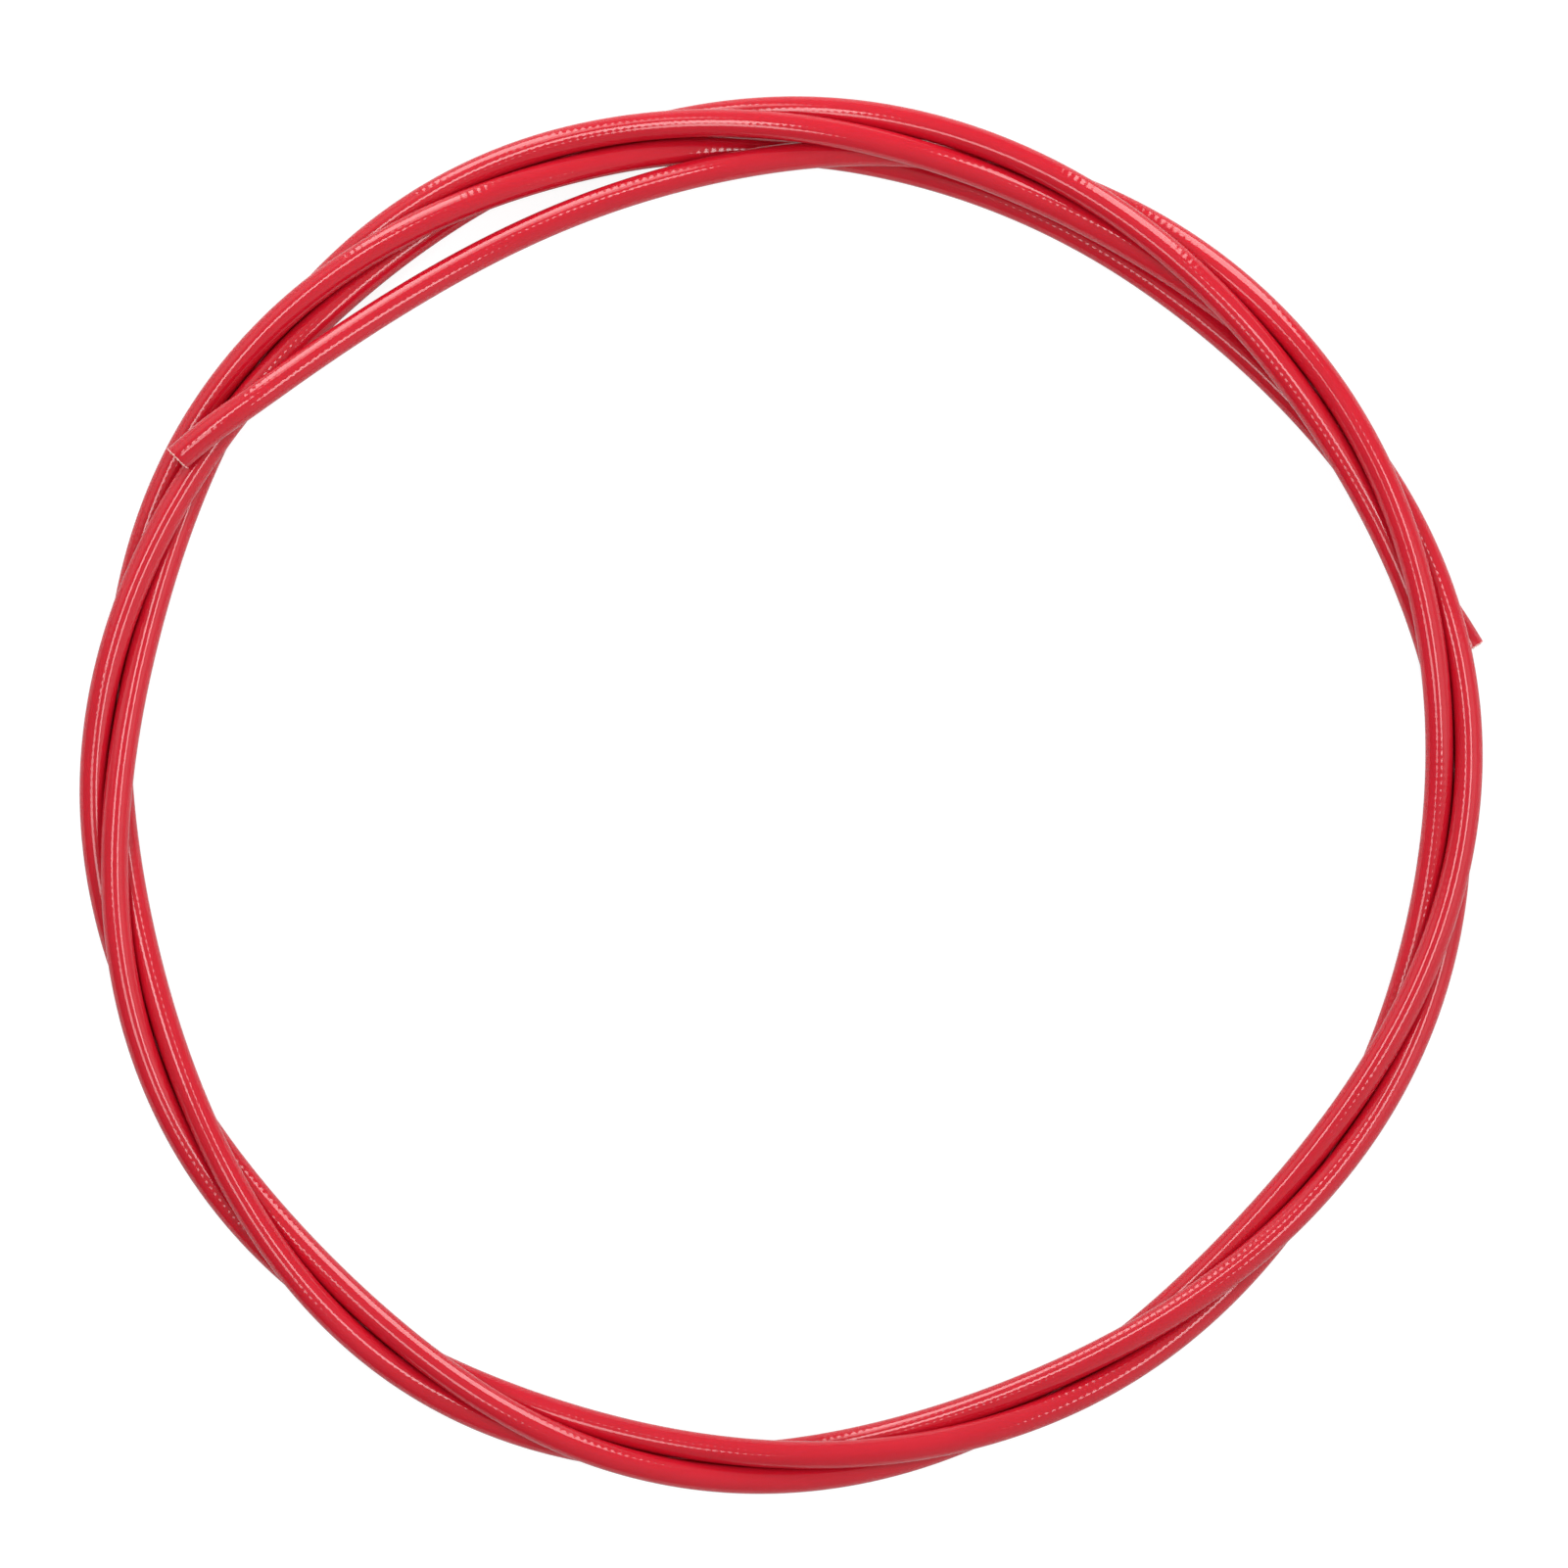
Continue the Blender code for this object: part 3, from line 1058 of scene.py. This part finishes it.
@dataclass
class Liner:
    """The smooth inner tube with the bore."""

    hose: Hose
    finish: NaturalNylon = NaturalNylon()
    ring_step: float = 2.0 * MILLIMETRE
    sides: int = 24
    proud: float = 0.06 * MILLIMETRE
    rounding: float = 0.08 * MILLIMETRE

    def build(self) -> Object:
        """Build the liner.

        Returns:
            The piece.
        """
        wall = TubeWall(self.hose, Layer.LINER, self.ring_step, self.ring_step, self.sides,
                        self.proud, self.rounding)
        piece = dress(wall.make("hose_liner"), self.finish.material())
        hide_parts(Layer.LINER.value)
        return piece


# --- The studio ---


@dataclass(frozen=True)
class SoftBox:
    """A rectangular studio light: its place, its length and width, and its brightness."""

    name: str
    place: tuple[float, float, float]
    size: tuple[float, float]
    brightness: float

    def hang(self) -> Object:
        """Hang the light so that it faces the middle of the coil.

        Its power is brightness times area times pi, so that its face has that brightness.

        Returns:
            The light.
        """
        data = bpy.data.lights.new(self.name, "AREA")
        data.shape = "RECTANGLE"
        data.size, data.size_y = self.size
        data.energy = self.brightness * self.size[0] * self.size[1] * math.pi
        light = bpy.data.objects.new(self.name, data)
        place = Vector(self.place)
        facing = place.to_track_quat("Z", "Y").to_matrix().to_4x4()
        light.matrix_world = Matrix.Translation(place) @ facing
        bpy.context.scene.collection.objects.link(light)
        return light


@dataclass
class Studio:
    """Floor, lights and the camera straight above the coil."""

    route: HoseRoute
    # The camera is this high over the bundle's middle, where the picture is this wide. Its sensor
    # is in millimetres, and all other lengths are in metres.
    camera_height: float = 1.5
    camera_sensor: float = 36.0
    camera_sight: tuple[float, float] = (0.05, 50.0)
    picture_width: float = 0.28387
    picture_centre: tuple[float, float] = (0.00033, 0.00213)
    bundle_height: float = 5.4 * MILLIMETRE
    room_light: float = 0.5
    room_slope: tuple[float, float] = (-0.55, 0.15)
    room_least: float = 0.12
    floor_size: float = 12.0
    card_depth: float = 0.2 * MILLIMETRE
    card: MattPaper = MattPaper("pale_card", "d8d8d8")
    sheet: MattPaper = MattPaper("lit_white_paper", "7c7c7c", glow=0.88, cover="cover")
    sheet_step: float = 1.0
    # How far from the bundle's middle the lit sheet is whole, and where it has thinned to nothing.
    thinning: tuple[float, float] = (3.9 * MILLIMETRE, 1.4 * MILLIMETRE)
    boxes: tuple[SoftBox, ...] = (
        SoftBox("right_overhead", (0.42, -0.02, 1.0), (0.70, 0.21), 7.0),
        SoftBox("left_overhead", (-0.36, 0.18, 1.0), (0.56, 0.21), 7.5),
        SoftBox("left_overhead_wide", (-0.32, -0.25, 1.0), (0.30, 0.27), 5.2),
        SoftBox("right_standing", (0.395, 0.60, 0.30), (0.19, 0.64), 6.2),
        SoftBox("left_standing", (-0.31, 0.60, 0.17), (0.185, 0.36), 6.2),
        SoftBox("left_accent", (-0.26, 0.60, 0.48), (0.12, 0.22), 3.0),
        SoftBox("left_fill", (-1.153, 0.720, 0.634), (1.00, 0.90), 0.55),
        SoftBox("right_fill", (1.12, -0.03, 0.99), (0.90, 0.80), 0.6),
    )

    def build(self) -> None:
        """Lay the floor, hang the lights and set the camera."""
        self.lay_card()
        self.lay_lit_sheet()
        for box in self.boxes:
            box.hang()
        self.light_room()
        self.set_camera()

    def lay_card(self) -> None:
        """Lay the pale card that takes shadows and shows in the hose's reflections."""
        half = self.floor_size / 2
        square = np.array(((-half, -half), (half, -half), (half, half), (-half, half)))
        points = np.column_stack((square, np.full(4, -self.card_depth)))
        card = make_piece("pale_card", points, np.array(((0, 1, 2, 3),)))
        card.data.materials.append(self.card.material())

    def lay_lit_sheet(self) -> None:
        """Lay the white sheet that the camera sees, which glows so that it stays white.

        It is a disc inside the coil and a ring outside it. Under the bundle both thin out to
        nothing before they reach its middle, so that no lit sheet shows through the coil and the
        card's shadow begins softly in other views.
        """
        angles = np.arange(0.0, 360.0, self.sheet_step)
        turned = np.radians(angles)
        middle = self.route.bundle_radius(angles)
        whole, gone = self.thinning
        edge = np.full_like(middle, self.floor_size / 2)
        radii = np.stack((0 * middle, middle - whole, middle - gone, middle + gone, middle + whole, edge))
        cover = np.repeat((1.0, 1.0, 0.0, 0.0, 1.0, 1.0), angles.size)
        points = np.stack((radii * np.sin(turned), radii * np.cos(turned), 0 * radii), axis=-1)
        # The angles count clockwise, so the faces are turned over.
        faces = grid_faces(len(radii), angles.size, closed=False)[:, ::-1]
        sheet = make_piece("lit_white_sheet", points.reshape(-1, 3), faces[cover[faces].any(axis=1)])
        sheet.data.attributes.new(self.sheet.cover, "FLOAT", "POINT").data.foreach_set("value", cover)
        sheet.data.materials.append(self.sheet.material())
        sheet.visible_diffuse = sheet.visible_glossy = sheet.visible_shadow = False

    def light_room(self) -> None:
        """Fill the room with soft light that is uneven from side to side, as white walls make it.

        Seen in a direction of x and y it is the room light, plus one slope times x times y,
        plus the other slope times x, and never quite dark.
        """
        world = bpy.data.worlds.new("studio_room")
        world.use_nodes = True
        tree = world.node_tree
        tree.nodes.clear()
        direction = add_node(tree, "TexCoord").outputs["Generated"]
        x, y, _ = add_node(tree, "SeparateXYZ", (direction,)).outputs
        crossed = add_node(tree, "Math", (x, y), operation="MULTIPLY")
        terms = (crossed, self.room_slope[0], self.room_light)
        level = add_node(tree, "Math", terms, operation="MULTIPLY_ADD")
        level = add_node(tree, "Math", (x, self.room_slope[1], level), operation="MULTIPLY_ADD")
        level = add_node(tree, "Math", (level, self.room_least), operation="MAXIMUM")
        light = add_node(tree, "Background", {"Color": WHITE, "Strength": level})
        add_node(tree, "OutputWorld", (light,))
        bpy.context.scene.world = world
        bpy.context.scene.view_settings.view_transform = "Standard"

    def set_camera(self) -> None:
        """Set the camera straight above, with a long lens."""
        data = bpy.data.cameras.new("studio_camera")
        data.sensor_width = self.camera_sensor
        data.lens = data.sensor_width * self.camera_height / self.picture_width
        data.clip_start, data.clip_end = self.camera_sight
        camera = bpy.data.objects.new("studio_camera", data)
        camera.location = (*self.picture_centre, self.camera_height + self.bundle_height)
        bpy.context.scene.collection.objects.link(camera)
        bpy.context.scene.camera = camera


# --- Everything in order ---


def report(piece: Object) -> Object:
    """Write a line about a finished piece to the log, and hand the piece on."""
    LOG.info("%s: %d faces", piece.name, len(piece.data.polygons))
    return piece


def declare_cord(hose: Hose) -> None:
    """Work out points along the hose's path, one each millimetre, and read its length and diameter; nothing
    is done with them.

    Args:
        hose: The hose.
    """
    path = hose.route.at(np.linspace(0.0, hose.route.length, round(hose.route.length / MILLIMETRE) + 1))
    hose.route.length
    hose.sizes.diameter


def main() -> None:
    """Build the hose layer by layer in the studio."""
    logging.basicConfig(level=logging.INFO, format="%(message)s")
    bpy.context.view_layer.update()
    hose = Hose()
    Studio(hose.route).build()
    LOG.info("route: %.3f m long", hose.route.length)
    jacket, braid, liner = Jacket(hose), Braid(hose), Liner(hose)
    outside = report(jacket.build())
    others = [report(braid.build()), report(liner.build())]
    for end in CutEnd:
        others += [report(jacket.build_rim(end)), report(braid.build_ends(end))]
    declare_cord(hose)


if __name__ == "__main__":
    main()
